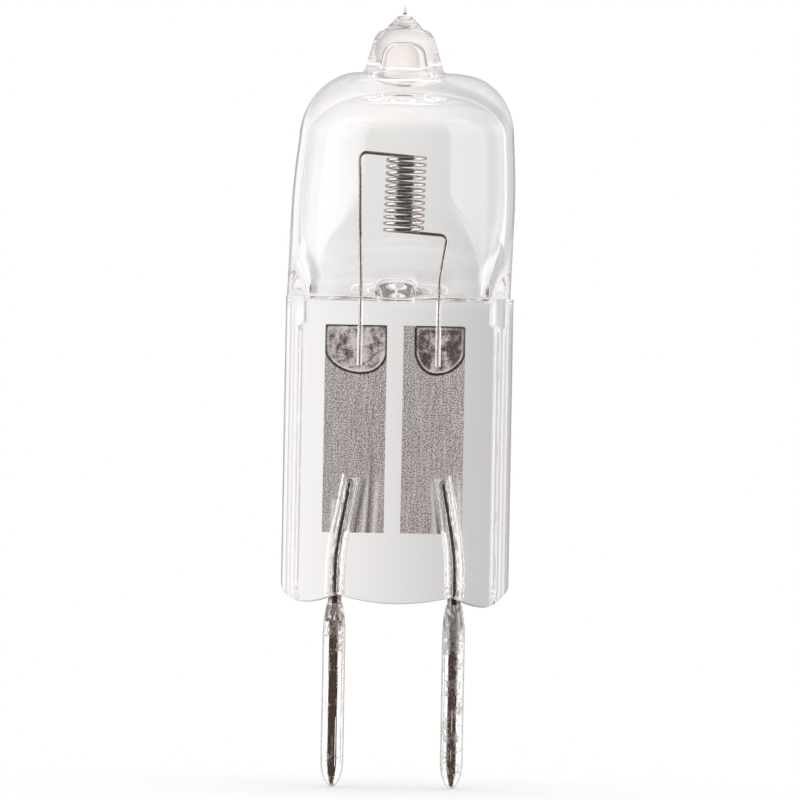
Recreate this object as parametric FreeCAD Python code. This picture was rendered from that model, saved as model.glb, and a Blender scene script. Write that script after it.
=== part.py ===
import FreeCAD, Part
import math
import os
from FreeCAD import Vector

# Halogen capsule bulb with two contact pins, in millimetres.
# +Z runs up the bulb's axis. X runs from pin to pin. Y runs through the flat of the pinch.
# The origin is midway between the pins, at the underside of the glass.
# The welds on the foils face -Y, which is the front.

# Contact pins
pin_spacing = 6.35
pin_diameter = 1.2
pin_reach = 10.0
pin_standoff = 0.2
pin_neck_length = 1.2
pin_neck_wall = 0.09
pin_neck_bow = 0.06
pin_nose_length = 1.05
pin_nose_tip_diameter = 0.3
pin_nose_bow = 0.12
pin_socket_depth = 2.6

# Pinch: an I section of two rails and a thinner web
pinch_length = 16.1
pinch_spread = 0.2
web_thickness = 2.9
panel_depth = 0.5
rail_width = 0.95
panel_head_inset = 0.25
panel_head_length = 1.5
panel_side_slope = 0.25
underside_lobe = 0.2
underside_notch = 0.25
underside_corner = 0.75
pinch_overlap = 0.4

# Sealing foils, side by side in the pinch
foil_width = 3.28
foil_gap = 0.88
foil_thickness = 0.04
foil_pair_offset = -0.2
foil_foot_margin = 3.55
foil_head_margin = 1.5

# Lead wires, which run from the pins up to the foils
lead_diameter = 0.72
lead_weld_length = 2.85
lead_weld_spread = 0.37
lead_bend_height = 2.4
lead_bend_radius = 14.0
lead_weld_flat = 0.03
lead_channel_gap = 0.18

# Bulb
bulb_diameter = 11.9
barrel_taper = 0.46
barrel_taper_length = 4.2
belly_length = 6.0
barrel_length = 2.4
shoulder_rise = 3.5
shoulder_run = 3.0
wall_side = 0.5
wall_crown = 0.8

# Chamber floor, squeezed to a trough above the pinch
chamber_floor_rise = 0.4
chamber_corner = 0.6
trough_width = 1.6

# Exhaust tip on the crown, where the bulb was filled and sealed
tip_foot_diameter = 4.2
tip_stub_length = 2.35
tip_stub_bow = 0.13
tip_shoulder_diameter = 2.9
tip_cone_length = 0.5
tip_neck_diameter = 1.1
tip_point_length = 0.72
tip_top_diameter = 0.3
exhaust_bore_diameter = 1.8
exhaust_bore_cap = 0.75

# Filament: one wire wound as a coil, with both ends led down to the foils
filament_wire_diameter = 0.19
coil_diameter = 2.2
coil_pitch = 0.34
coil_turns = 12
coil_centre_rise = 5.5
coil_centre_offset = 0.17
coil_tilt = 1.5
leg_left_spread = 0.21
leg_right_spread = 0.38
leg_corner_radius = 0.35
leg_entry_radius = 1.0
leg_entry_rise = 0.4
leg_weld_length = 2.1
leg_weld_flat = 0.01
leg_channel_gap = 0.06

# Unsealed pockets on the foils, round the filament's welds
pocket_depth = 0.05
pocket_foot = 0.5
pocket_inset = 0.06
pocket_right_inset = 0.62

# Character of the blown surface, which has no size of its own
section_points = 32
belly_shares = (0, 0.05, 0.15, 0.3, 0.5, 0.75, 1)
belly_power = 1.6
barrel_shares = (0.35, 0.7)
shoulder_turns = (0, 22.5, 45, 67.5, 90)
corner_power = 3
pinch_boxiness = 0.9

# Room that cutting shapes take past the faces they cut
over = 1.0

pin_x = pin_spacing / 2
pin_radius = pin_diameter / 2
pin_top = -pin_standoff
pin_wall_top = pin_top - pin_neck_length
pinch_half = (bulb_diameter + pinch_spread) / 2
rail_half = web_thickness / 2 + panel_depth
underside_deep = -underside_lobe - over
lead_radius = lead_diameter / 2
filament_radius = filament_wire_diameter / 2
coil_radius = coil_diameter / 2 - filament_radius
foil_pitch = foil_width + foil_gap
foil_front = lead_radius - lead_weld_flat
foil_top = pinch_length - foil_head_margin
lead_top_x = foil_pitch / 2 + lead_weld_spread
lead_top = foil_foot_margin + lead_weld_length
leg_x = foil_pitch / 2
leg_y = foil_front - filament_radius + leg_weld_flat
leg_end = foil_top - leg_weld_length
belly_top = pinch_length + belly_length
shoulder_height = belly_top + barrel_length
crown_height = shoulder_height + shoulder_rise
chamber_floor = pinch_length + chamber_floor_rise
tip_shoulder_height = crown_height + tip_stub_length
tip_neck_height = tip_shoulder_height + tip_cone_length
tip_top_height = tip_neck_height + tip_point_length

up = Vector(0, 0, 1)
back = Vector(0, 1, 0)
origin = Vector(0, 0, 0)


def line(start, end):
    return Part.LineSegment(start, end).toShape()


def arc(start, middle, end):
    return Part.Arc(start, middle, end).toShape()


def bowed(start, end, bow):
    """Arc in the XZ plane that stands out from its chord by the bow, away from the axis."""
    outward = (end - start).normalize().cross(back)
    if outward.x < 0:
        outward = -outward
    return arc(start, (start + end) / 2 + outward * bow, end)


def chain(points):
    return [line(a, b) for a, b in zip(points, points[1:])]


def turned(edges):
    """Solid of revolution about the axis, from a closed outline in the XZ plane."""
    return Part.Face(Part.Wire(edges)).revolve(origin, up, 360)


def rounded_path(points, radii):
    """Straight runs joined by tangent arcs at the inner points."""
    edges = []
    start = points[0]
    for before, corner, after, radius in zip(points, points[1:], points[2:], radii):
        to_before = (before - corner).normalize()
        to_after = (after - corner).normalize()
        half_turn = (math.pi - to_before.getAngle(to_after)) / 2
        inward = (to_before + to_after).normalize()
        run = radius * math.tan(half_turn)
        centre = corner + inward * (radius / math.cos(half_turn))
        bend_start = corner + to_before * run
        bend_end = corner + to_after * run
        edges.append(line(start, bend_start))
        edges.append(arc(bend_start, centre - inward * radius, bend_end))
        start = bend_end
    edges.append(line(start, points[-1]))
    return Part.Wire(edges)


def rod(points, radii, radius):
    """Round rod along a rounded path."""
    section = Part.Wire(Part.makeCircle(radius, points[0], points[1] - points[0]))
    return rounded_path(points, radii).makePipe(Part.Face(section))


def contact_pin(x):
    """Pin with a blind socket for the lead wire, a swelling neck and a bullet nose."""
    tip_radius = pin_nose_tip_diameter / 2
    tip = Vector(tip_radius, 0, -pin_reach)
    neck = Vector(lead_radius + pin_neck_wall, 0, pin_top)
    wall_top = Vector(pin_radius, 0, pin_wall_top)
    wall_end = Vector(pin_radius, 0, pin_nose_length - pin_reach)
    outline = chain([tip, Vector(0, 0, -pin_reach), Vector(0, 0, pin_top), neck])
    outline += [bowed(neck, wall_top, pin_neck_bow), line(wall_top, wall_end)]
    outline.append(bowed(wall_end, tip, pin_nose_bow))
    socket = Part.makeCylinder(lead_radius, pin_socket_depth, Vector(0, 0, pin_top - pin_socket_depth))
    return turned(outline).cut(socket).translated(Vector(x, 0, 0))


def lead_points(side, top, bottom):
    """Route of a lead wire: leaning inwards in the pinch, upright from its bend down."""
    bend = Vector(side * pin_x, 0, lead_bend_height)
    lean = (Vector(side * lead_top_x, 0, lead_top) - bend).normalize()
    upper_end = bend + lean * ((top - lead_bend_height) / lean.z)
    return [upper_end, bend, Vector(side * pin_x, 0, bottom)]


def lead_wire(side):
    points = lead_points(side, lead_top, pin_top - pin_socket_depth)
    return rod(points, [lead_bend_radius], lead_radius)


def behind_foils():
    """Glass that lies against the backs of both foils, which no gap cuts into."""
    return Part.makeBox(
        2 * pinch_half, rail_half, foil_top - foil_foot_margin,
        Vector(-pinch_half, foil_front, foil_foot_margin),
    )


def lead_channel(side):
    """Gap that the glass leaves round a lead wire, open at the underside, flat along the foil."""
    points = lead_points(side, lead_top + lead_channel_gap, underside_deep)
    return rod(points, [lead_bend_radius], lead_radius + lead_channel_gap).cut(behind_foils())


def leg_channel(side):
    """Fine gap that the glass leaves round a filament leg, flat along the foil."""
    foot = Vector(side * leg_x, leg_y, leg_end - leg_channel_gap)
    length = chamber_floor + leg_entry_rise / 2 - foot.z
    return Part.makeCylinder(filament_radius + leg_channel_gap, length, foot).cut(behind_foils())


def foil(side):
    left_edge = foil_pair_offset + side * foil_pitch / 2 - foil_width / 2
    corner = Vector(left_edge, foil_front, foil_foot_margin)
    return Part.makeBox(foil_width, foil_thickness, foil_top - foil_foot_margin, corner)


def weld_pocket(foil_box, left_inset):
    """Half-round gap between the glass and the front of a foil, round the filament's weld."""
    top = foil_top - pocket_inset
    low = leg_end - pocket_foot
    left = foil_box.XMin + left_inset
    right = foil_box.XMax - pocket_inset
    places = [(left, (top + low) / 2), (left, top), (right, top), (right, (top + low) / 2)]
    corners = [Vector(x, foil_front, z) for x, z in places]
    bottom = Vector((left + right) / 2, foil_front, low)
    edges = chain(corners) + [arc(corners[-1], bottom, corners[0])]
    return Part.Face(Part.Wire(edges)).extrude(-back * pocket_depth)


def filament():
    """Coil and its two legs. Both legs leave the coil at the back, the upper one to the left."""
    coil_height = coil_pitch * coil_turns
    slope = coil_pitch / (2 * math.pi * coil_radius)
    coil_place = FreeCAD.Placement(
        Vector(coil_centre_offset, 0, pinch_length + coil_centre_rise),
        FreeCAD.Rotation(back, coil_tilt),
    )
    low_end = Vector(0, coil_radius, -coil_height / 2)
    high_end = Vector(0, coil_radius, coil_height / 2)
    wire_way = Vector(-1, 0, slope).normalize()
    helix = Part.makeHelix(coil_pitch, coil_height, coil_radius)
    helix.rotate(origin, up, 90)
    helix.translate(Vector(0, 0, -coil_height / 2))
    section = Part.Wire(Part.makeCircle(filament_radius, low_end, wire_way))
    coil = Part.Wire(helix.Edges).makePipeShell([section], True, True)
    coil.Placement = coil_place.multiply(coil.Placement)
    run_way = coil_place.Rotation.multVec(wire_way)
    legs = []
    for side, coil_end, spread in ((-1, high_end, leg_left_spread), (1, low_end, leg_right_spread)):
        start = coil_place.multVec(coil_end)
        corner = start + run_way * ((side * (leg_x + spread) - start.x) / run_way.x)
        entry = Vector(side * leg_x, leg_y, chamber_floor + leg_entry_rise)
        weld_end = Vector(side * leg_x, leg_y, leg_end)
        bends = [leg_corner_radius, leg_entry_radius]
        legs.append(rod([start, corner, entry, weld_end], bends, filament_radius))
    return coil.fuse(legs)


def blown_section(height, half_width, half_depth, boxiness):
    """Closed smooth outline across the glass: round at boxiness 0, nearly a slab at 1."""
    def spread(share):
        return share * (1 + boxiness) / math.sqrt(1 + boxiness * (2 + boxiness) * share * share)

    points = []
    for step in range(section_points):
        turn = 2 * math.pi * step / section_points
        x = half_width * spread(math.cos(turn))
        y = half_depth * spread(math.sin(turn))
        points.append(Vector(x, y, height))
    curve = Part.BSplineCurve()
    knots = [step / section_points for step in range(section_points + 1)]
    curve.interpolate(Points=points, PeriodicFlag=True, Parameters=knots)
    return Part.Wire(curve.toShape())


def barrel_radius(height):
    """Outer radius of the tube, which tapers gently towards the shoulder."""
    share = max(0, 1 - (shoulder_height - height) / barrel_taper_length)
    return bulb_diameter / 2 - barrel_taper / 2 * share * share


def blown_skin(wall, floor, floor_depth, corner, run, crown):
    """Blown form from its floor on the pinch, out over the belly, up the barrel to the crown."""
    rise = crown - shoulder_height
    sections = []
    for share in belly_shares:
        left = 1 - share
        height = floor + (belly_top - floor) * share
        radius = barrel_radius(height) - wall
        fullness = (1 - left ** belly_power) ** (1 / belly_power)
        half_depth = floor_depth + (radius - floor_depth) * fullness
        half_width = radius - corner * left ** corner_power
        sections.append(blown_section(height, half_width, half_depth, pinch_boxiness * left * left))
    for share in barrel_shares:
        height = belly_top + (shoulder_height - belly_top) * share
        radius = barrel_radius(height) - wall
        sections.append(blown_section(height, radius, radius, 0))
    for turn in shoulder_turns:
        radius = barrel_radius(shoulder_height) - wall - run * (1 - math.cos(math.radians(turn)))
        height = shoulder_height + rise * math.sin(math.radians(turn))
        sections.append(blown_section(height, radius, radius, 0))
    return Part.makeLoft(sections, True, False)


def bulb_body():
    """Outside of the bulb."""
    return blown_skin(0, pinch_length, rail_half, 0, shoulder_run, crown_height)


def chamber_body():
    """Inside of the bulb, squeezed to a trough with rounded ends above the pinch."""
    return blown_skin(
        wall_side, chamber_floor, trough_width / 2, chamber_corner,
        shoulder_run - wall_side / 2, crown_height - wall_crown,
    )


def exhaust_tip():
    """Stub of the exhaust tube, drawn out to a point when it was melted off."""
    low = crown_height - wall_crown / 2
    foot = Vector(tip_foot_diameter / 2, 0, crown_height)
    shoulder = Vector(tip_shoulder_diameter / 2, 0, tip_shoulder_height)
    neck = Vector(tip_neck_diameter / 2, 0, tip_neck_height)
    top = Vector(tip_top_diameter / 2, 0, tip_top_height)
    outline = chain([Vector(0, 0, low), Vector(foot.x, 0, low), foot])
    outline.append(bowed(foot, shoulder, tip_stub_bow))
    outline += chain([shoulder, neck, top, Vector(0, 0, top.z), Vector(0, 0, low)])
    return turned(outline)


def exhaust_bore():
    """What is left of the exhaust tube's bore, with a rounded end inside the tip."""
    radius = exhaust_bore_diameter / 2
    low = crown_height - wall_crown - over
    straight_top = tip_shoulder_height - exhaust_bore_cap - radius
    bore = Part.makeCylinder(radius, straight_top - low, Vector(0, 0, low))
    return bore.fuse(Part.makeSphere(radius, Vector(0, 0, straight_top)))


def panel_outline(grow, y):
    """Outline of the pressed panel at one depth, with a narrower head under the bulb."""
    half = pinch_half - rail_width + grow
    head = half - panel_head_inset
    step = pinch_length - panel_head_length
    right = [(half, underside_deep), (half, step), (head, step), (head, pinch_length)]
    left = [(-x, z) for x, z in reversed(right)]
    corners = [Vector(x, y, z) for x, z in right + left]
    return Part.makePolygon(corners + corners[:1])


def panel_recess(side):
    """Shallow recess between the rails on one face of the pinch, with sloping sides."""
    floor = panel_outline(0, side * web_thickness / 2)
    mouth_depth = panel_depth + over
    mouth = panel_outline(panel_side_slope * mouth_depth / panel_depth, side * (rail_half + over))
    return Part.makeLoft([floor, mouth], True, True)


def below_underside():
    """Space under the scalloped lower edge of the pinch, to be cut away."""
    side_lobe = Vector((pinch_half + pin_x) / 2, 0, -underside_lobe)
    notch = Vector(pin_x, 0, underside_notch)
    corner_start = Vector(pinch_half - underside_corner / 2, 0, -underside_lobe / 2)
    corner_end = Vector(pinch_half + over, 0, underside_corner + over)
    right = [arc(notch, side_lobe, corner_start)]
    right += chain([corner_start, corner_end, Vector(corner_end.x, 0, underside_deep)])
    left = [edge.mirror(origin, Vector(1, 0, 0)) for edge in right]
    middle = arc(Vector(-pin_x, 0, notch.z), Vector(0, 0, -underside_lobe), notch)
    closing = line(Vector(-corner_end.x, 0, underside_deep), Vector(corner_end.x, 0, underside_deep))
    outline = Part.Wire(Part.__sortEdges__(right + left + [middle, closing]))
    depth = rail_half + over
    return Part.Face(outline).translated(-back * depth).extrude(back * 2 * depth)


def pinch():
    """Lower end of the tube, pressed flat, with a panel on each face and a scalloped underside."""
    height = pinch_length + pinch_overlap + over
    tube = Part.makeCylinder(pinch_half, height, Vector(0, 0, -over))
    slab = Part.makeBox(4 * pinch_half, 2 * rail_half, height, Vector(-2 * pinch_half, -rail_half, -over))
    return tube.common(slab).cut([panel_recess(-1), panel_recess(1), below_underside()])


def quartz_envelope(foils, pockets):
    """Bulb, exhaust tip and pinch, blown and pressed from one tube."""
    outside = bulb_body().fuse([exhaust_tip(), pinch()])
    chamber = chamber_body().fuse(exhaust_bore())
    gaps = [channel(side) for channel in (lead_channel, leg_channel) for side in (-1, 1)]
    return outside.cut([chamber] + gaps + foils + pockets)


def main():
    os.makedirs("parts", exist_ok=True)
    foil_left = foil(-1)
    foil_right = foil(1)
    pockets = [
        weld_pocket(foil_left.BoundBox, pocket_inset),
        weld_pocket(foil_right.BoundBox, pocket_right_inset),
    ]
    nodes = {
        "quartz_envelope": quartz_envelope([foil_left, foil_right], pockets),
        "filament": filament().cut([foil_left, foil_right]),
        "foil_left": foil_left,
        "foil_right": foil_right,
        "lead_wire_left": lead_wire(-1).cut(foil_left),
        "lead_wire_right": lead_wire(1).cut(foil_right),
        "contact_pin_left": contact_pin(-pin_x),
        "contact_pin_right": contact_pin(pin_x),
    }
    for name, shape in nodes.items():
        shape.exportStep("parts/" + name + ".step")
        print(name, len(shape.Solids), shape.isValid(), round(shape.Volume, 4))


main()
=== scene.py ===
import math

import bpy
import numpy as np
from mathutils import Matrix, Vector, noise


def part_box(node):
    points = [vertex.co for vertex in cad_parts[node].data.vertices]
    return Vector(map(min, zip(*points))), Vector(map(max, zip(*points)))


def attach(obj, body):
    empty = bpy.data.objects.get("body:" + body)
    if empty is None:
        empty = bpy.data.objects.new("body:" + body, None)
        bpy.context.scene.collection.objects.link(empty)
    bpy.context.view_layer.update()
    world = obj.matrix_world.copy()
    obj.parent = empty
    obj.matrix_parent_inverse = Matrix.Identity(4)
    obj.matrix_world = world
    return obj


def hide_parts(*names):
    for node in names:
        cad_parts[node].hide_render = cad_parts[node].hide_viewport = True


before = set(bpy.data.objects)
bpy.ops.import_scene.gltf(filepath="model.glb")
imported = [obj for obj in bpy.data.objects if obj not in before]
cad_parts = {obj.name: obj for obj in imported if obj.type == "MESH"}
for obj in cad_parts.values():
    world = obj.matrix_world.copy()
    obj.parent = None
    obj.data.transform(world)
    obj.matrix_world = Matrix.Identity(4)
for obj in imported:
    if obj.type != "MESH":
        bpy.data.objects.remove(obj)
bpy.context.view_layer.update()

# Halogen capsule bulb: clear quartz, tungsten filament, sealing foils, lead wires and plated pins.
# Lengths are in millimetres in the CAD frame: +Z up the bulb, X from pin to pin, -Y the front.
# Meshes are turned into metres when they are made.
MM = 0.001


def node_box(name):
    """Lowest and highest corner of a CAD node, in millimetres."""
    low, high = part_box(name)
    return np.array(low) / MM, np.array(high) / MM


GLASS_HIGH = node_box("quartz_envelope")[1]
FOIL_BOXES = {"left": node_box("foil_left"), "right": node_box("foil_right")}
PIN_BOXES = {"left": node_box("contact_pin_left"), "right": node_box("contact_pin_right")}
SIDES = {"left": -1, "right": 1}

# Pinch, an I section of two rails and a thinner web
PINCH_HALF = GLASS_HIGH[0]
PINCH_LENGTH = 16.1
RAIL_HALF = 1.95
WEB_HALF = 1.45
PANEL_HALF = 5.1
PANEL_SLOPE = 0.25
PANEL_HEAD_INSET = 0.25
PANEL_HEAD_LOW = 14.6
HEAD_BLEND = 0.15
HEAD_START = PANEL_HEAD_LOW - HEAD_BLEND
HEAD_END = PANEL_HEAD_LOW + HEAD_BLEND
HEAD_DIP = 0.1
HEAD_DIP_HALF = 1.9
PANEL_FILL = 0.22
FILL_START = PINCH_LENGTH - PANEL_FILL
PINCH_EDGE = 0.22

# Scalloped underside of the pinch, where a pair is for the left and the right side
NOTCH_RISE = (0.28, 0.2)
LOBE_DROP = (-0.15, -0.3)
MIDDLE_DROP = -0.2
LOBE_X = 4.9
CORNER_RISE = 0.85
UNDERSIDE_REACH = 3.0

# Bulb
BULB_RADIUS = 5.94
BARREL_TAPER = 0.23
BARREL_TAPER_LENGTH = 4.2
BELLY_TOP = 22.1
SHOULDER_HEIGHT = 24.5
SHOULDER_RUN = 3.0
CROWN_HEIGHT = 28.0
WALL_SIDE = 0.5
WALL_CROWN = 0.8
CHAMBER_FLOOR = 16.5
CHAMBER_CORNER = 0.6
TROUGH_HALF = 0.8
BELLY_POWER = 1.6
PINCH_BOXINESS = 0.9
BULB_LEAN = 0.033
LEAN_START = 18.0

# Uneven floor of the chamber
NUB_X = -0.2
NUB_HALF = 0.95
NUB_HEIGHT = 0.4
WELL_X = 3.5
WELL_HALF = 1.0
WELL_DEPTH = 0.18
FLOOR_ROUNDING = 0.22
FLOOR_REACH = 0.8

# Exhaust tip
TIP_FOOT_RADIUS = 2.1
BORE_RADIUS = 0.9
BORE_TOP = 29.5
TIP_TOP = GLASS_HIGH[2]

# Wires
PIN_X = 3.175
LEAD_RADIUS = 0.36
LEAD_TOP = (2.45, 6.4)
LEAD_BEND_HEIGHT = 2.4
LEAD_BEND_RADIUS = 14.0
LEAD_FOOT = -2.8
LEAD_GAP = 0.18
CHANNEL_OVERLAP = 0.02
FILAMENT_RADIUS = 0.095
COIL_RADIUS = 1.005
COIL_PITCH = 0.352
COIL_TURNS = 12
COIL_CENTRE = (0.17, 0.0, 21.5)
COIL_TILT = math.radians(1.5)
LEG_CORNER_X = {"left": -2.29, "right": 2.46}
LEG_CORNER_RADIUS = 0.35
LEG_ENTRY_RADIUS = 1.0
LEG_X = 2.08
LEG_Y = 0.245
LEG_ENTRY = 16.9
LEG_END = 12.5
LEG_GAP = 0.06

# Contact pins
PIN_NECK_END = -1.5
PIN_NOSE_START = -8.75
CRIMP_DEPTH = 0.16
GROOVE_DEPTH = 0.02
GROOVE_HALF_ANGLE = 0.055

# Fine grooves drawn along each pin: degrees from its front, upper and lower end
DRAWN_GROOVES = {
    "left": [(-2, -7.05, -8.4), (18, -6.3, -8.9)],
    "right": [(0, -5.65, -7.1), (-5, -7.75, -8.7)],
}

# Weld pockets in front of the foils, each with the lowest point of its curved foot
POCKET_DEPTH = 0.05
POCKET_LOW = 12.05
POCKET_INSET = 0.05
POCKET_CORNER = 0.16
POCKET_RIGHT_INSET = 0.66
POCKET_APEX = {"left": -2.0, "right": 2.05}

# Creases pressed into the foils and painted darker as shade, as routes of x and z
ZONE_CREASES = {
    "left": [
        [(-3.36, 12.6), (-2.95, 12.68), (-2.61, 12.88)],
        [(-3.12, 14.1), (-3.14, 13.6), (-3.33, 13.08)],
        [(-2.6, 12.33), (-1.95, 12.44), (-1.46, 12.8), (-1.2, 13.1)],
        [(-1.19, 13.09), (-0.82, 13.31)],
        [(-1.5, 13.55), (-1.05, 13.7), (-0.85, 13.6)],
        [(-1.35, 14.45), (-1.42, 14.05), (-1.3, 13.8)],
    ],
    "right": [
        [(1.75, 12.75), (1.66, 12.55), (1.56, 12.3)],
        [(1.52, 14.4), (1.6, 13.9), (1.5, 13.5), (1.62, 13.1)],
        [(2.75, 14.3), (2.7, 13.7), (2.85, 13.1)],
    ],
}
# Fold ridges and valleys beside the leads, as routes of x and z, raised or sunk and painted lighter as
# sheen or darker as shade
FOLD_RIDGES = {
    "left": [[(-1.49, 7.0), (-1.74, 3.55)], [(-1.0, 6.6), (-1.16, 3.55)], [(-3.3, 5.2), (-3.42, 3.55)]],
    "right": [[(1.86, 6.3), (2.1, 3.55)], [(3.3, 6.6), (3.38, 3.55)]],
}
FOLD_VALLEYS = {
    "left": [[(-1.71, 6.3), (-2.19, 3.55)], [(-1.19, 9.5), (-1.29, 8.0), (-1.42, 4.9), (-1.5, 3.55)]],
    "right": [[(2.2, 5.6), (2.32, 3.55)]],
}


def smooth_step(low, high, value):
    """0 at the first bound and 1 at the second, with a smooth change between them."""
    share = np.clip((np.asarray(value, float) - low) / (high - low), 0, 1)
    return share * share * (3 - 2 * share)


def bell(value, centre, width):
    """1 at the centre, fading out over about that width."""
    return np.exp(-(((np.asarray(value, float) - centre) / width) ** 2))


def noise_at(points, scale, seed):
    """Smooth noise from -1 to 1 at each point, with features of about that scale."""
    shift = Vector((seed * 7.3, seed * 3.1, seed * 5.7))
    return np.array([noise.noise(Vector(p) / scale + shift) for p in points])


def mesh_object(name, points, faces):
    """Smooth mesh object from points in millimetres."""
    mesh = bpy.data.meshes.new(name)
    mesh.from_pydata([tuple(p) for p in np.asarray(points, float) * MM], [], faces)
    mesh.validate()
    mesh.shade_smooth()
    thing = bpy.data.objects.new(name, mesh)
    bpy.context.scene.collection.objects.link(thing)
    return thing


def skin_faces(ring_count, ring_size):
    """Quads between rings of equal size, each ring running counter-clockwise seen from the last."""
    faces = []
    for ring in range(ring_count - 1):
        for step in range(ring_size):
            after = (step + 1) % ring_size
            low = ring * ring_size
            high = low + ring_size
            faces.append((low + step, low + after, high + after, high + step))
    return faces


def fold_faces(ring_size):
    """Closes the lowest ring, of mirrored halves, by strips from its front to its back."""
    faces = []
    for step in range(ring_size // 2):
        face = [ring_size - step - 1, step + 1, step, (ring_size - step) % ring_size]
        face = [v for i, v in enumerate(face) if v not in face[:i]]
        if len(face) > 2:
            faces.append(tuple(face))
    return faces


def lofted(name, rings, folded=False):
    """Closed mesh through a stack of rings, from the lowest up, whose lower end is plain or folded."""
    size = len(rings[0])
    faces = skin_faces(len(rings), size)
    faces += fold_faces(size) if folded else [tuple(reversed(range(size)))]
    last = (len(rings) - 1) * size
    faces.append(tuple(range(last, last + size)))
    return mesh_object(name, np.concatenate(rings), faces)


def rounded_runs(points, cuts, run_counts, corner_counts):
    """Points along an open outline whose inner corners are cut back and rounded."""
    points = [np.array(p, float) for p in points]
    placed = []
    start = points[0]
    for index, cut in enumerate(cuts):
        before, corner, after = points[index:index + 3]
        to_before = (before - corner) / np.linalg.norm(before - corner)
        to_after = (after - corner) / np.linalg.norm(after - corner)
        bend_start = corner + to_before * cut
        bend_end = corner + to_after * cut
        for share in np.linspace(0, 1, run_counts[index], endpoint=False):
            placed.append(start + (bend_start - start) * share)
        for share in np.linspace(0, 1, corner_counts[index], endpoint=False):
            keep = 1 - share
            placed.append(keep * keep * bend_start + 2 * keep * share * corner + share * share * bend_end)
        start = bend_end
    for share in np.linspace(0, 1, run_counts[-1] + 1):
        placed.append(start + (points[-1] - start) * share)
    return np.array(placed)


def mirrored_ring(quarter):
    """Whole outline from the quarter that runs from the right side to the middle of the back."""
    flip_x = quarter[::-1] * (-1, 1)
    half = np.concatenate([quarter, flip_x[1:]])
    return np.concatenate([half, (half[::-1] * (1, -1))[1:-1]])


def pinch_quarter(height):
    """A quarter of the pinch's outline: its side, a rail, the sloping step and half of the panel."""
    head = smooth_step(HEAD_START, HEAD_END, height)
    filled = smooth_step(FILL_START, PINCH_LENGTH, height)
    panel = PANEL_HALF - PANEL_HEAD_INSET * head
    web = WEB_HALF + (RAIL_HALF - WEB_HALF) * filled
    side_y = RAIL_HALF / 2
    corners = [
        (PINCH_HALF, 0),
        (math.sqrt(PINCH_HALF ** 2 - side_y ** 2), side_y),
        (math.sqrt(PINCH_HALF ** 2 - RAIL_HALF ** 2), RAIL_HALF),
        (panel + PANEL_SLOPE, RAIL_HALF),
        (panel, web),
        (0, web),
    ]
    return rounded_runs(corners, (0.2, 0.28, 0.07, 0.03), (3, 3, 3, 3, 40), (4, 10, 5, 5))


def underside(x):
    """Height of the scalloped lower edge of the pinch at each x."""
    x = np.asarray(x, float)
    notch = np.where(x < 0, *NOTCH_RISE)
    lobe = np.where(x < 0, *LOBE_DROP)
    reach = np.clip(np.abs(x) / PIN_X, 0, 1)
    middle = MIDDLE_DROP + (notch - MIDDLE_DROP) * reach ** 2
    across = np.clip((np.abs(x) - PIN_X) / (LOBE_X - PIN_X), 0, 1)
    side = lobe + (notch - lobe) * (1 - across) ** 2
    corner_reach = np.clip((np.abs(x) - LOBE_X) / (PINCH_HALF - LOBE_X), 0, 1)
    corner = CORNER_RISE * np.where(x < 0, 1 - np.sqrt(1 - corner_reach ** 2 * 0.99), corner_reach ** 1.8)
    return np.where(np.abs(x) < PIN_X, middle, side + corner)


def lean(height, radius):
    """Sideways shift of the blown bulb, which sits a little askew on its pinch."""
    share = np.clip((radius - TIP_FOOT_RADIUS) / (BULB_RADIUS - 2 - TIP_FOOT_RADIUS), 0, 1)
    return BULB_LEAN * (min(height, CROWN_HEIGHT) - LEAN_START) * share


def barrel_radius(height):
    """Outer radius of the tube, which tapers gently towards the shoulder."""
    share = max(0, 1 - (SHOULDER_HEIGHT - height) / BARREL_TAPER_LENGTH)
    return BULB_RADIUS - BARREL_TAPER * share ** 2


def belly_outline(turn, wall, floor, floor_depth, corner):
    """Height, half width, half depth and boxiness of the belly, from its floor at 0 to the barrel at 1."""
    angle = turn * math.pi / 2
    left = math.cos(angle) ** (2 / BELLY_POWER)
    fullness = math.sin(angle) ** (2 / BELLY_POWER)
    height = floor + (BELLY_TOP - floor) * (1 - left)
    radius = barrel_radius(height) - wall
    half_width = radius - corner * left ** 3
    half_depth = floor_depth + (radius - floor_depth) * fullness
    return height, half_width, half_depth, PINCH_BOXINESS * left * left


def blown_profile(wall, floor, floor_depth, corner, run, crown):
    """Sections of the blown form from floor to crown: height, half width, half depth and boxiness."""
    sections = [belly_outline(turn, wall, floor, floor_depth, corner) for turn in np.linspace(0, 1, 43)]
    shoulder = barrel_radius(SHOULDER_HEIGHT) - wall
    for height in np.linspace(BELLY_TOP, SHOULDER_HEIGHT, 10)[1:]:
        radius = barrel_radius(height) - wall
        sections.append((height, radius, radius, 0.0))
    for angle in np.linspace(0, math.pi / 2, 26)[1:]:
        radius = shoulder - run * (1 - math.cos(angle))
        height = SHOULDER_HEIGHT + (crown - SHOULDER_HEIGHT) * math.sin(angle)
        sections.append((height, radius, radius, 0.0))
    return sections


def blown_ring(section, angles):
    """Ring of a blown section, with its points at the given directions from the axis."""
    height, half_width, half_depth, boxiness = section
    turns = np.linspace(0, 2 * math.pi, 721)

    def spread(share):
        return share * (1 + boxiness) / np.sqrt(1 + boxiness * (2 + boxiness) * share * share)

    x = half_width * spread(np.cos(turns))
    y = half_depth * spread(np.sin(turns))
    seen = np.unwrap(np.arctan2(y, x))
    ring_x = np.interp(angles, seen, x) + lean(height, half_width)
    ring_y = np.interp(angles, seen, y)
    return np.stack([ring_x, ring_y, np.full(len(angles), height)], axis=1)


def profile_rings(profile, angles):
    """Round rings from a list of radius and height."""
    rings = []
    for radius, height in profile:
        x = radius * np.cos(angles) + lean(height, radius)
        rings.append(np.stack([x, radius * np.sin(angles), np.full(len(angles), height)], axis=1))
    return rings


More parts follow.
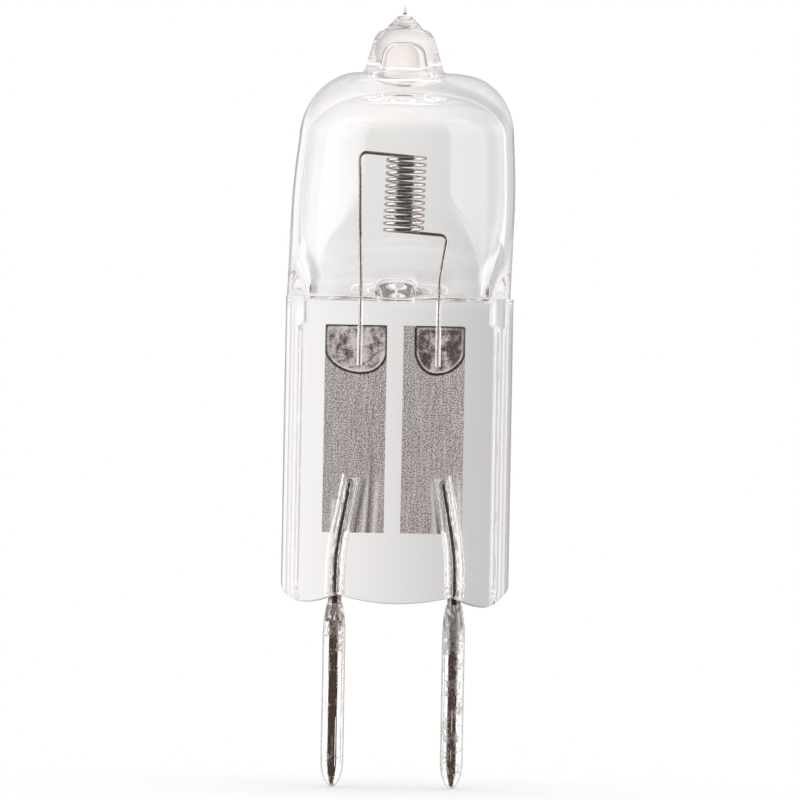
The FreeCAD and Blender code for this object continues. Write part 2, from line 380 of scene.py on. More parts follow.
def curve_through(points, count):
    """Smooth line through the points, by a spline that follows the chords of its neighbours."""
    points = np.array(points, float)
    padded = np.concatenate([2 * points[:1] - points[1:2], points, 2 * points[-1:] - points[-2:-1]])
    placed = []
    for index in range(len(points) - 1):
        a, b, c, d = padded[index:index + 4]
        for share in np.linspace(0, 1, count, endpoint=False):
            placed.append(0.5 * (
                2 * b + (c - a) * share + (2 * a - 5 * b + 4 * c - d) * share ** 2
                + (3 * b - a - 3 * c + d) * share ** 3
            ))
    placed.append(points[-1])
    return np.array(placed)


def ring_angles(ring):
    """Direction of each point of a ring from the axis."""
    return np.unwrap(np.arctan2(ring[:, 1], ring[:, 0]))


def head_dip(x):
    """How far the head of the panel sags between the filament's legs."""
    share = np.clip(1 - (np.asarray(x, float) / HEAD_DIP_HALF) ** 2, 0, 1)
    return HEAD_DIP * share ** 1.5


def pinch_rings():
    """Rings of the pinch from its rounded underside up to the bulb."""
    rings = []
    for angle in np.linspace(0, math.pi / 2, 7, endpoint=False):
        inset = PINCH_EDGE * (1 - math.sin(angle))
        rise = PINCH_EDGE * (1 - math.cos(angle))
        outline = mirrored_ring(pinch_quarter(0))
        shrunk = outline * (1 - inset / PINCH_HALF, 1 - inset / RAIL_HALF)
        rings.append(np.column_stack([shrunk, rise + underside(outline[:, 0])]))
    heights = np.concatenate([
        np.linspace(PINCH_EDGE, UNDERSIDE_REACH, 12, endpoint=False),
        np.linspace(UNDERSIDE_REACH, HEAD_START, 26, endpoint=False),
        np.linspace(HEAD_START, HEAD_END, 8, endpoint=False),
        np.linspace(HEAD_END, FILL_START, 5, endpoint=False),
        np.linspace(FILL_START, PINCH_LENGTH - 0.02, 8),
    ])
    for height in heights:
        outline = mirrored_ring(pinch_quarter(height))
        z = height + underside(outline[:, 0]) * (1 - smooth_step(0, UNDERSIDE_REACH, height))
        z -= head_dip(outline[:, 0]) * smooth_step(PANEL_HEAD_LOW, FILL_START, height)
        rings.append(np.column_stack([outline, z]))
    return rings


def outside_mesh():
    """Outside of the quartz: the pinch, the blown bulb and the drawn-off tip."""
    rings = pinch_rings()
    angles = ring_angles(rings[-1])
    sections = blown_profile(0, PINCH_LENGTH, RAIL_HALF, 0, SHOULDER_RUN, CROWN_HEIGHT)
    for section in sections:
        ring = blown_ring(section, angles)
        sag = 1 - smooth_step(PINCH_LENGTH, PINCH_LENGTH + 0.7, section[0])
        ring[:, 2] -= head_dip(ring[:, 0]) * sag
        rings.append(ring)
    crown_radius = sections[-1][1]
    foot = [(crown_radius, CROWN_HEIGHT), (2.42, 28.01), (2.2, 28.06), (2.08, 28.22), (1.97, 28.6)]
    stub = [(1.86, 29.0), (1.71, 29.5), (1.63, 29.78), (1.5, 30.04), (1.3, 30.28), (0.97, 30.5)]
    point = [(0.69, 30.7), (0.5, 30.9), (0.33, 31.11), (0.2, 31.32), (0.12, 31.46), (0.01, TIP_TOP)]
    profile = curve_through(foot + stub + point, 4)[1:]
    rings += profile_rings(profile, angles)
    return lofted("clear_quartz", rings, folded=True)


def chamber_floor_wave(x):
    """Unevenness of the chamber's floor: a small nub in the middle and a shallow well at each end."""
    nub = np.sqrt(np.clip(1 - ((x - NUB_X) / NUB_HALF) ** 2, 0, 1))
    wells = np.clip(1 - ((np.abs(x) - WELL_X) / WELL_HALF) ** 2, 0, 1)
    return NUB_HEIGHT * nub - WELL_DEPTH * wells


def chamber_mesh():
    """Hollow of the bulb, from its squeezed floor to the blind end of the exhaust bore."""
    angles = np.linspace(0, 2 * math.pi, 160, endpoint=False)
    crown = CROWN_HEIGHT - WALL_CROWN
    sections = blown_profile(
        WALL_SIDE, CHAMBER_FLOOR, TROUGH_HALF, CHAMBER_CORNER, SHOULDER_RUN - WALL_SIDE / 2, crown
    )
    blown = [blown_ring(section, angles) for section in sections]
    rings = []
    for angle in np.linspace(math.radians(80), 0, 8, endpoint=False):
        scale = (1 - 0.06 * math.sin(angle), math.cos(angle), 1)
        rings.append(blown[0] * scale - (0, 0, FLOOR_ROUNDING * math.sin(angle)))
    rings += blown
    for ring in rings:
        fade = 1 - smooth_step(CHAMBER_FLOOR, CHAMBER_FLOOR + FLOOR_REACH, ring[:, 2])
        ring[:, 2] += chamber_floor_wave(ring[:, 0]) * fade
    mouth = [(sections[-1][1], crown), (1.9, crown + 0.03), (1.3, crown + 0.14), (1.0, crown + 0.45)]
    bore = [(BORE_RADIUS, crown + 1.0), (0.86, 28.4), (0.74, 29.05), (0.45, 29.45), (0.05, BORE_TOP)]
    rings += profile_rings(curve_through(mouth + bore, 5)[1:], angles)
    return lofted("chamber", rings, folded=True)


def rounded_route(points, radii, step=0.06):
    """Points along straight runs joined by tangent arcs."""
    points = [Vector(p) for p in points]
    placed = [points[0]]

    def run_to(end):
        start = placed[-1]
        count = max(1, round((end - start).length / step))
        placed.extend(start.lerp(end, (i + 1) / count) for i in range(count))

    for before, corner, after, radius in zip(points, points[1:], points[2:], radii):
        to_before = (before - corner).normalized()
        to_after = (after - corner).normalized()
        half_turn = (math.pi - to_before.angle(to_after)) / 2
        inward = (to_before + to_after).normalized()
        centre = corner + inward * (radius / math.cos(half_turn))
        run_to(corner + to_before * (radius * math.tan(half_turn)))
        arm = placed[-1] - centre
        other = corner + to_after * (radius * math.tan(half_turn)) - centre
        turn = 2 * half_turn
        count = max(4, round(turn * radius / step))
        for i in range(1, count + 1):
            share = i / count
            mixed = arm * math.sin((1 - share) * turn) + other * math.sin(share * turn)
            placed.append(centre + mixed / math.sin(turn))
    run_to(points[-1])
    return np.array([tuple(p) for p in placed])


def tube_rings(route, radii, sides):
    """Rings round a route, carried along it without twisting."""
    route = np.asarray(route, float)
    ways = np.gradient(route, axis=0)
    ways /= np.linalg.norm(ways, axis=1)[:, None]
    across = Vector(ways[0]).orthogonal().normalized()
    rings = []
    for place, way, radius in zip(route, ways, np.broadcast_to(radii, len(route))):
        way = Vector(way)
        across = (across - way * across.dot(way)).normalized()
        up = way.cross(across)
        ring = []
        for step in range(sides):
            angle = 2 * math.pi * step / sides
            ring.append(Vector(place) + (across * math.cos(angle) + up * math.sin(angle)) * radius)
        rings.append(np.array([tuple(p) for p in ring]))
    return rings


def lead_route(side, top, bottom):
    """Route of a lead wire from its upper end, which leans inwards, down to its foot in the pin."""
    bend = Vector((side * PIN_X, 0, LEAD_BEND_HEIGHT))
    way = (Vector((side * LEAD_TOP[0], 0, LEAD_TOP[1])) - bend).normalized()
    upper = bend + way * ((top - LEAD_BEND_HEIGHT) / way.z)
    return rounded_route([upper, bend, (side * PIN_X, 0, bottom)], [LEAD_BEND_RADIUS], 0.05)[::-1]


def press_on_foil(ring, name, share):
    """Flattens a channel's ring against the front of a foil, by a share for each point."""
    flat = np.minimum(ring[:, 1], FOIL_BOXES[name][0][1] + CHANNEL_OVERLAP)
    ring[:, 1] += (flat - ring[:, 1]) * share


def lead_channel_mesh(side, name):
    """Gap in the glass round a lead wire, open below, flat where it lies along the foil."""
    route = lead_route(side, LEAD_TOP[1] + LEAD_GAP, -1.0)
    foil_foot = FOIL_BOXES[name][0][2]
    rings = tube_rings(route, LEAD_RADIUS + LEAD_GAP, 48)
    for ring, place in zip(rings, route):
        rough = noise_at(ring, 0.16, 5 + side) + 0.7 * noise_at(ring, 0.45, 9 + side)
        ring += (ring - place) * (0.035 * rough)[:, None]
        press_on_foil(ring, name, smooth_step(foil_foot - 0.1, foil_foot + 0.05, ring[:, 2]))
    return lofted("lead_channel", rings)


def leg_channel_mesh(side, name):
    """Fine gap in the glass round a filament leg."""
    foil_head = FOIL_BOXES[name][1][2]
    top = CHAMBER_FLOOR + 0.6
    heights = np.linspace(LEG_END - LEG_GAP, top, 60)
    rings = tube_rings([(side * LEG_X, LEG_Y, z) for z in heights], FILAMENT_RADIUS + LEG_GAP, 24)
    for ring in rings:
        press_on_foil(ring, name, 1 - smooth_step(foil_head - 0.05, foil_head + 0.1, ring[:, 2]))
    return lofted("leg_channel", rings)


def pocket_edges(name):
    """Left, right, lower and upper edge of a weld pocket."""
    low, high = FOIL_BOXES[name]
    inset = POCKET_INSET if name == "left" else POCKET_RIGHT_INSET
    return low[0] + inset, high[0] - POCKET_INSET, POCKET_LOW, high[2] - POCKET_INSET


def pocket_outline(name, grow):
    """Half-round outline of the unsealed zone round a filament weld."""
    left, right, low, top = pocket_edges(name)
    middle = (low + top) / 2
    half = (right - left) / 2
    centre = (left + right) / 2
    points = [(centre + half + grow, middle)]
    for angle in np.linspace(0, math.pi, 12):
        run = half + grow - POCKET_CORNER
        x = math.copysign(run, math.cos(angle)) + POCKET_CORNER * math.cos(angle)
        points.append((centre + x, top + grow - POCKET_CORNER * (1 - math.sin(angle))))
    points.append((centre - half - grow, middle))
    for angle in np.linspace(math.pi, 2 * math.pi, 40)[1:-1]:
        skew = (POCKET_APEX[name] - centre) * math.sin(angle) ** 2
        points.append((
            centre + skew + (half + grow) * math.cos(angle),
            middle + (middle - low + grow) * math.sin(angle),
        ))
    return np.array(points)


def pocket_mesh(name):
    """Thin unsealed gap between the glass and the front of a foil."""
    front = FOIL_BOXES[name][0][1]
    rings = []
    for depth, grow in ((-0.03, 0), (0.02, 0), (POCKET_DEPTH - 0.012, -0.012), (POCKET_DEPTH, -0.04)):
        outline = pocket_outline(name, grow)
        level = np.full(len(outline), front - depth)
        rings.append(np.column_stack([outline[:, 0], level, outline[:, 1]]))
    return lofted("pocket", rings)


def cut_out(target, hollows):
    """Takes the hollows out of the target's mesh and removes them."""
    for hollow in hollows:
        cut = target.modifiers.new(hollow.name, "BOOLEAN")
        cut.operation = "DIFFERENCE"
        cut.solver = "MANIFOLD"
        cut.object = hollow
    graph = bpy.context.evaluated_depsgraph_get()
    carved = bpy.data.meshes.new_from_object(target.evaluated_get(graph))
    target.modifiers.clear()
    target.data = carved
    for hollow in hollows:
        bpy.data.objects.remove(hollow)
    carved.materials.clear()
    carved.shade_smooth()
    carved.set_sharp_from_angle(angle=math.radians(38))


def mark_painted_foot_shade(mesh):
    """Marks the lowest rim of the glass, where painted shade makes its pressed edge grey."""
    places = np.empty(len(mesh.vertices) * 3)
    mesh.vertices.foreach_get("co", places)
    places = places.reshape(-1, 3) / MM
    above = places[:, 2] - underside(places[:, 0])
    layer = mesh.attributes.new("foot", "FLOAT", "POINT")
    layer.data.foreach_set("value", 1 - smooth_step(0.02, 0.09, above))


def quartz():
    """The whole glass, blown and pressed from one tube, with its hollows."""
    glass = outside_mesh()
    hollows = [chamber_mesh()]
    for name, side in SIDES.items():
        hollows += [lead_channel_mesh(side, name), leg_channel_mesh(side, name), pocket_mesh(name)]
    cut_out(glass, hollows)
    mark_painted_foot_shade(glass.data)
    glass.data.materials.append(quartz_material())
    return glass


def filament_route():
    """Line of the filament wire from the left weld, over the coil, to the right weld."""
    height = COIL_PITCH * COIL_TURNS
    turns = np.linspace(0, COIL_TURNS, COIL_TURNS * 48 + 1)
    angle = math.pi / 2 - 2 * math.pi * turns
    local = np.column_stack([
        COIL_RADIUS * np.cos(angle), COIL_RADIUS * np.sin(angle), height / 2 - COIL_PITCH * turns
    ])
    cosine, sine = math.cos(COIL_TILT), math.sin(COIL_TILT)
    x = local[:, 0] * cosine + local[:, 2] * sine
    z = local[:, 2] * cosine - local[:, 0] * sine
    coil = np.column_stack([x, local[:, 1], z]) + COIL_CENTRE
    legs = {}
    ends = {"left": (coil[0], coil[1]), "right": (coil[-1], coil[-2])}
    for name, (end, before) in ends.items():
        side = SIDES[name]
        way = end - before
        corner = end + way * ((LEG_CORNER_X[name] - end[0]) / way[0])
        stops = [end, corner, (side * LEG_X, LEG_Y, LEG_ENTRY), (side * LEG_X, LEG_Y, LEG_END)]
        legs[name] = rounded_route(stops, [LEG_CORNER_RADIUS, LEG_ENTRY_RADIUS])
    return np.concatenate([legs["left"][:0:-1], coil, legs["right"][1:]])


def filament():
    """The tungsten wire, flat where its legs are welded to the foils."""
    rings = tube_rings(filament_route(), FILAMENT_RADIUS, 14)
    low, high = FOIL_BOXES["left"]
    for ring in rings:
        welded = ring[:, 2] < high[2]
        ring[welded, 1] = np.minimum(ring[welded, 1], low[1])
    wire = lofted("tungsten_wire", rings)
    wire.data.materials.append(tungsten_material())
    return wire


def lead_wire(name):
    """Lead wire with a rounded upper end, flat where it is welded to its foil."""
    side = SIDES[name]
    route = lead_route(side, LEAD_TOP[1], LEAD_FOOT)
    from_top = np.linalg.norm(route - route[-1], axis=1)
    inward = np.clip(LEAD_RADIUS - from_top, 0, None)
    ball = np.sqrt(np.clip(LEAD_RADIUS ** 2 - inward ** 2, 0.01, None))
    neck = 1 - 0.16 * bell(from_top, 0.5, 0.1)
    rings = tube_rings(route, ball * neck, 40)
    low = FOIL_BOXES[name][0]
    for ring in rings:
        welded = ring[:, 2] > low[2]
        ring[welded, 1] = np.minimum(ring[welded, 1], low[1])
    wire = lofted("lead_rod_" + name, rings)
    wire.data.materials.append(lead_material())
    return wire


def contact_pin(name):
    """Pin with a crimped neck, fine drawn grooves low on its front and a bullet nose."""
    low, high = PIN_BOXES[name]
    centre = (low + high) / 2
    radius = (high[0] - low[0]) / 2
    neck = [(LEAD_RADIUS, high[2]), (0.42, high[2] - 0.04), (0.47, -0.45), (0.54, -0.85)]
    nose = [(0.54, -9.2), (0.41, -9.58), (0.27, -9.82), (0.13, -9.96), (0.02, low[2])]
    body = [(radius, z) for z in np.linspace(PIN_NECK_END, PIN_NOSE_START, 80)]
    upper = curve_through(neck + body[:1], 12)
    lower = curve_through(body[-1:] + nose, 8)
    profile = np.concatenate([upper, body[1:-1], lower])[::-1]
    sides = 240
    angles = np.linspace(0, 2 * math.pi, sides, endpoint=False)
    seed = 11 + SIDES[name]
    rings = []
    for size, height in profile:
        ring = np.column_stack([np.cos(angles), np.sin(angles), np.full(sides, height)])
        crimp = smooth_step(-1.75, -1.2, height) * smooth_step(high[2] + 0.01, high[2] - 0.15, height)
        dents = np.minimum(noise_at(ring, 0.45, seed), 0.1) - 0.1
        wander = np.minimum(noise_at(ring * (1, 1, 0.6), 0.9, seed + 3), 0.0)
        sizes = size + CRIMP_DEPTH * crimp * dents + 0.012 * wander * smooth_step(0.2, 0.5, size)
        for degrees, top, bottom in DRAWN_GROOVES[name]:
            reach = smooth_step(bottom - 0.1, bottom + 0.2, height)
            reach = reach * smooth_step(top + 0.1, top - 0.2, height)
            off_line = np.abs(angles - math.radians(270 + degrees))
            sizes -= GROOVE_DEPTH * reach * np.clip(1 - off_line / GROOVE_HALF_ANGLE, 0, 1)
        ring[:, :2] *= sizes[:, None]
        rings.append(ring + (centre[0], 0, 0))
    pin = lofted("plated_pin_" + name, rings)
    pin.data.materials.append(pin_material())
    return pin


def stretch_distance(points, start, end):
    """Distance of each point from a straight stretch."""
    way = end - start
    along = np.clip((points - start) @ way / (way @ way), 0, 1)
    return np.linalg.norm(points - start - along[:, None] * way, axis=1)


def outline_depth(points, outline):
    """Distance of each point inside a closed outline, negative outside it."""
    nearest = np.full(len(points), np.inf)
    inside = np.zeros(len(points), bool)
    for start, end in zip(outline, np.roll(outline, -1, axis=0)):
        nearest = np.minimum(nearest, stretch_distance(points, start, end))
        way = end - start
        crosses = (start[1] > points[:, 1]) != (end[1] > points[:, 1])
        rise = way[1] if way[1] else 1.0
        inside ^= crosses & (points[:, 0] < start[0] + (points[:, 1] - start[1]) * way[0] / rise)
    return np.where(inside, nearest, -nearest)


def route_bell(points, routes, width):
    """1 on any of the routes, fading out over about that width."""
    nearest = np.full(len(points), np.inf)
    for route in routes:
        corners = np.array(route)
        for start, end in zip(corners, corners[1:]):
            nearest = np.minimum(nearest, stretch_distance(points, start, end))
    return np.exp(-(nearest / width) ** 2)


def foil_marks(name, points):
    """Marks on a foil: its zone left by the seal, the zone's dark rim, its pale border of painted glint,
    creases with painted shade, folds with painted sheen and valleys with painted shade, and painted glow
    along the welds.
    """
    seed = 21 + SIDES[name]
    spots = np.column_stack([points, np.zeros(len(points))])
    wander = noise_at(spots, 0.5, seed)
    depth = outline_depth(points, pocket_outline(name, 0)) + 0.025 * wander
    fine = noise_at(spots, 0.1, seed + 1)
    blotch = noise_at(spots, 0.42, seed + 2) + 0.6 * noise_at(spots, 0.2, seed + 3)
    lead = [(SIDES[name] * LEAD_TOP[0], LEAD_TOP[1]), (SIDES[name] * PIN_X, LEAD_BEND_HEIGHT)]
    leg = np.abs(points[:, 0] - SIDES[name] * LEG_X)
    near_leg = 1 - smooth_step(0.3, 0.75, leg)
    bias = -0.06 if name == "left" else -0.38
    low_down = 1 - smooth_step(12.6, 13.6, points[:, 1])
    below_end = 1 - smooth_step(LEAD_TOP[1] - 0.02, LEAD_TOP[1] + 0.08, points[:, 1])
    # Painted glow: a white band along the lead's weld and at the leg's weld, standing in for light shining
    # in the gaps round the wires
    lead_weld_glow = smooth_step(0.32, 0.4, route_bell(points, [lead], LEAD_RADIUS + LEAD_GAP)) * below_end
    leg_weld_glow = smooth_step(0.17, 0.12, leg) * smooth_step(LEG_END - 0.12, LEG_END, points[:, 1])
    return {
        "zone": smooth_step(0.0, 0.05, depth),
        "rim": 1 - smooth_step(0.045, 0.075, np.abs(depth + 0.02 + 0.02 * fine)),
        # Painted highlight: a pale glint just inside the zone's rim, strongest low down
        "glint_border": bell(depth, 0.1, 0.04) * np.clip(0.45 + 0.55 * low_down + 0.5 * wander, 0, 1),
        "shade": np.clip(0.5 + bias + 0.55 * blotch + 0.3 * near_leg, 0, 1),
        "weld_glow": np.maximum(lead_weld_glow, leg_weld_glow),
        # Creases are sunk and carry painted shade
        "crease_shade": route_bell(points, ZONE_CREASES[name], 0.05) * smooth_step(-0.3, 0.2, fine + 0.2),
        # Folds are raised and carry painted sheen, valleys are sunk and carry painted shade
        "fold_sheen": route_bell(points, FOLD_RIDGES[name], 0.13) * (1 - smooth_step(5.6, 7.2, points[:, 1])),
        "valley_shade": route_bell(points, FOLD_VALLEYS[name], 0.1) * (1 - smooth_step(5.0, 9.5, points[:, 1])),
    }


def foil_relief(name, points, marks):
    """Height of a foil's front above its flat sheet."""
    seed = 31 + SIDES[name]
    spots = np.column_stack([points, np.zeros(len(points))])
    crumple = 0.014 * noise_at(spots, 0.34, seed) + 0.009 * noise_at(spots, 0.13, seed + 1)
    rolled = 0.002 * noise_at(spots * (1, 0.2, 1), 0.12, seed + 2)
    relief = rolled + 0.02 * marks["fold_sheen"] - 0.01 * marks["valley_shade"]
    relief = relief + marks["zone"] * (0.012 + crumple - 0.014 * marks["crease_shade"])
    return np.clip(relief, -0.012, 0.04)


def sheet_faces(columns, rows):
    """Faces of a grid of points, of the same grid behind it, and of the edge between the two."""
    count = columns * rows
    faces = []
    for row in range(rows - 1):
        for column in range(columns - 1):
            a = row * columns + column
            quad = (a, a + 1, a + columns + 1, a + columns)
            faces.append(quad)
            faces.append(tuple(v + count for v in reversed(quad)))
    edge = list(range(columns)) + [columns * r + columns - 1 for r in range(1, rows)]
    edge += [count - 1 - c for c in range(1, columns)]
    edge += [columns * r for r in range(rows - 2, 0, -1)]
    for a, b in zip(edge, edge[1:] + edge[:1]):
        faces.append((b, a, a + count, b + count))
    return faces


def foil_sheet(name):
    """Thin rolled sheet, crumpled where it lies unsealed and folded beside its lead."""
    low, high = FOIL_BOXES[name]
    xs = np.linspace(low[0], high[0], 100)
    zs = np.concatenate([
        np.linspace(low[2], 7.5, 88, endpoint=False),
        np.linspace(7.5, POCKET_LOW - 0.15, 60, endpoint=False),
        np.linspace(POCKET_LOW - 0.15, high[2], 84),
    ])
    grid_x, grid_z = np.meshgrid(xs, zs)
    places = np.column_stack([grid_x.ravel(), grid_z.ravel()])
    marks = foil_marks(name, places)
    relief = foil_relief(name, places, marks)
    front = np.column_stack([places[:, 0], low[1] - relief, places[:, 1]])
    back = front + (0, high[1] - low[1], 0)
    faces = sheet_faces(len(xs), len(zs))
    sheet = mesh_object("foil_sheet_" + name, np.concatenate([front, back]), faces)
    for mark, values in marks.items():
        layer = sheet.data.attributes.new(mark, "FLOAT", "POINT")
        behind = values if mark in ("fold_sheen", "valley_shade", "shade") else np.zeros(len(values))
        layer.data.foreach_set("value", np.concatenate([values, behind]))
    sheet.data.set_sharp_from_angle(angle=math.radians(60))
    sheet.data.materials.append(foil_material())
    return sheet


def add_node(tree, kind, **settings):
    made = tree.nodes.new(kind)
    for key, value in settings.items():
        setattr(made, key, value)
    return made


def feed(tree, socket, value):
    """Links a socket to another socket, or sets it to a plain value."""
    if isinstance(value, bpy.types.NodeSocket):
        tree.links.new(value, socket)
    else:
        socket.default_value = value


def math_node(tree, operation, *values):
    made = add_node(tree, "ShaderNodeMath", operation=operation)
    for index, value in enumerate(values):
        feed(tree, made.inputs[index], value)
    return made.outputs[0]


def times(tree, first, second):
    return math_node(tree, "MULTIPLY", first, second)


def axes_of(tree, vector):
    """The x, y and z of a vector."""
    parts = add_node(tree, "ShaderNodeSeparateXYZ")
    tree.links.new(vector, parts.inputs[0])
    return parts.outputs


def ramp_node(tree, value, low, high, low_out=0.0, high_out=1.0):
    """Smooth change from one output to another between two values."""
    made = add_node(tree, "ShaderNodeMapRange", interpolation_type="SMOOTHSTEP")
    for index, setting in enumerate((value, low, high, low_out, high_out)):
        feed(tree, made.inputs[index], setting)
    return made.outputs[0]


def mix_colour(tree, factor, first, second):
    made = add_node(tree, "ShaderNodeMix", data_type="RGBA")
    feed(tree, made.inputs["Factor"], factor)
    feed(tree, made.inputs[6], first)
    feed(tree, made.inputs[7], second)
    return made.outputs[2]


def blend(tree, value, low, high, first, second):
    """Colour that goes over from the first to the second while a value rises between two bounds."""
    return mix_colour(tree, ramp_node(tree, value, low, high), first, second)


def toned(tree, colour, mark, strength, tone):
    """Colour drawn towards a tone where the mesh carries a mark."""
    return mix_colour(tree, times(tree, attribute(tree, mark), strength), colour, (*tone, 1))


def mixed_surface(tree, share, first, second, output):
    """Makes the surface a mix of two shaders, with that share of the second."""
    choose = add_node(tree, "ShaderNodeMixShader")
    feed(tree, choose.inputs[0], share)
    tree.links.new(first.outputs[0], choose.inputs[1])
    tree.links.new(second.outputs[0], choose.inputs[2])
    tree.links.new(choose.outputs[0], output.inputs["Surface"])


def new_material(name):
    material = bpy.data.materials.new(name)
    material.use_nodes = True
    shader = material.node_tree.nodes["Principled BSDF"]
    return material, material.node_tree, shader


def millimetres(tree, stretch=(1, 1, 1)):
    """Place on the object in millimetres, stretched along its axes."""
    place = add_node(tree, "ShaderNodeTexCoord").outputs["Object"]
    scaled = add_node(tree, "ShaderNodeMapping")
    scaled.inputs["Scale"].default_value = [axis / MM for axis in stretch]
    tree.links.new(place, scaled.inputs["Vector"])
    return scaled.outputs[0]


def noise_node(tree, place, size, detail=2.0):
    """Noise from 0 to 1 with features of about that size in millimetres."""
    made = add_node(tree, "ShaderNodeTexNoise")
    tree.links.new(place, made.inputs["Vector"])
    made.inputs["Scale"].default_value = 1 / size
    made.inputs["Detail"].default_value = detail
    return made.outputs[0]


def attribute(tree, name):
    return add_node(tree, "ShaderNodeAttribute", attribute_name=name).outputs["Fac"]


def bump(tree, shader, height, depth):
    """Fine relief of a surface, in millimetres."""
    made = add_node(tree, "ShaderNodeBump")
    made.inputs["Distance"].default_value = depth * MM
    tree.links.new(height, made.inputs["Height"])
    tree.links.new(made.outputs[0], shader.inputs["Normal"])


def quartz_material():
    """Clear quartz, faintly warm in the tip, with painted grey shade along its foot, and wavy where it was
    pressed.
    """
    material, tree, shader = new_material("quartz")
    place = millimetres(tree)
    cloud = noise_node(tree, place, 5.0)
    tint = blend(tree, cloud, 0.35, 0.65, (1, 0.99, 0.985, 1), WHITE)
    height = axes_of(tree, place)[2]
    tint = blend(tree, height, CROWN_HEIGHT, CROWN_HEIGHT + 0.7, tint, (0.985, 0.945, 0.925, 1))
    # Painted shade: a grey tint along the lowest rim, standing in for the dark edge of the glass there
    tint = mix_colour(tree, attribute(tree, "foot"), tint, (0.3, 0.27, 0.26, 1))
    tree.links.new(tint, shader.inputs["Base Color"])
    shader.inputs["Roughness"].default_value = 0.0
    shader.inputs["IOR"].default_value = 1.458
    shader.inputs["Transmission Weight"].default_value = 1.0
    pressed = ramp_node(tree, height, 14.5, 16.0, 1.0, 0.0)
    bump(tree, shader, times(tree, noise_node(tree, place, 1.6), pressed), 0.012)
    return material


def drawn_metal(name, dark, light, rough_low, rough_high, line_width, relief):
    """Bare metal with fine lines along its length and small changes of colour and polish."""
    material, tree, shader = new_material(name)
    lines = noise_node(tree, millimetres(tree, (1, 1, 0.06)), line_width, 3.0)
    spots = noise_node(tree, millimetres(tree), line_width * 2.5, 4.0)
    mottle = math_node(tree, "MULTIPLY_ADD", lines, 0.5, times(tree, spots, 0.5))
    colour = blend(tree, mottle, 0.32, 0.68, (*dark, 1), (*light, 1))
    tree.links.new(colour, shader.inputs["Base Color"])
    shader.inputs["Metallic"].default_value = 1.0
    tree.links.new(ramp_node(tree, spots, 0.3, 0.7, rough_low, rough_high), shader.inputs["Roughness"])
    bump(tree, shader, mottle, relief)
    return material


def tungsten_material():
    return drawn_metal("tungsten", (0.28, 0.245, 0.23), (0.46, 0.43, 0.415), 0.04, 0.1, 0.03, 0.001)


def lead_material():
    return drawn_metal("lead_wire", (0.15, 0.12, 0.11), (0.54, 0.52, 0.515), 0.08, 0.22, 0.08, 0.006)


def pin_material():
    """Bright plating, scuffed to a matt grey in specks and patches, most of all by the crimped neck."""
    material = drawn_metal("plated_pin", (0.66, 0.63, 0.6), (0.84, 0.82, 0.8), 0.04, 0.3, 0.07, 0.01)
    tree = material.node_tree
    place = millimetres(tree)
    x, y, z = axes_of(tree, place)
    specks = noise_node(tree, millimetres(tree, (1, 1, 0.6)), 0.1, 3.0)
    patches = noise_node(tree, place, 0.8)
    scuffs = math_node(tree, "MULTIPLY_ADD", specks, 0.6, times(tree, patches, 0.5))
    scuffs = math_node(tree, "ADD", scuffs, ramp_node(tree, z, -3.4, -1.2, 0.0, 0.14))
    scuffs = math_node(tree, "ADD", scuffs, ramp_node(tree, x, -1.0, 1.0, 0.025, 0.08))
    rough = ramp_node(tree, scuffs, 0.56, 0.74, 0.05, 0.62)
    tree.links.new(rough, tree.nodes["Principled BSDF"].inputs["Roughness"])
    return material


def stipple(tree):
    """Mostly 1, with small dark specks."""
    specks = noise_node(tree, millimetres(tree, (1, 1, 0.6)), 0.06, 1.0)
    return ramp_node(tree, specks, 0.36, 0.44, 0.15, 1.0)


